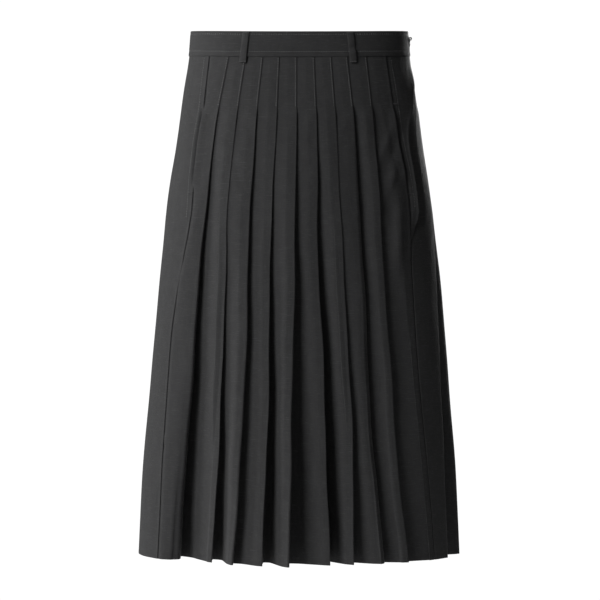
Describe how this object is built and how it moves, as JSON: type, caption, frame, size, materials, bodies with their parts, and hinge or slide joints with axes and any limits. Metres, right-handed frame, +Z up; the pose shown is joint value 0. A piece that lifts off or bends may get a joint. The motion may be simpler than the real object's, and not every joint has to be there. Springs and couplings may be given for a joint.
{
  "type": "pleated maxi skirt",
  "caption": "Long knife-pleated skirt in its worn, filled-out form, with a plain waistband, belt loops, side pockets and a concealed side zip.",
  "frame": {"origin": "middle of the waist, at half the height of the waistband", "axes": "+Z up, -Y the skirt's front, +X the wearer's left, where the zip is"},
  "size_m": [0.4737, 0.3096, 0.79],
  "materials": {
    "suiting": "matt plain-weave suiting, near black",
    "zip_tape": "woven tape, black",
    "zip_metal": "satin grey metal"
  },
  "bodies": {
    "skirt": {"waistband": "suiting", "front_panel": "suiting", "back_panel": "suiting", "pocket_right": "suiting", "pocket_left": "suiting", "belt_loop_front_right": "suiting", "belt_loop_front_left": "suiting", "belt_loop_back_left": "suiting", "belt_loop_back_right": "suiting", "zip_tape": "zip_tape", "zip_slider": "zip_metal"},
    "pull_tab": {"zip_pull_tab": "zip_metal"}
  },
  "joints": [
    {"name": "pull_tab_swing", "type": "hinge", "parent": "skirt", "child": "pull_tab", "pos_m": [0.16483, -0.01113, 0.00619], "axis": [-0.1322, -0.9912, 0], "range_deg": [0, 170]}
  ]
}
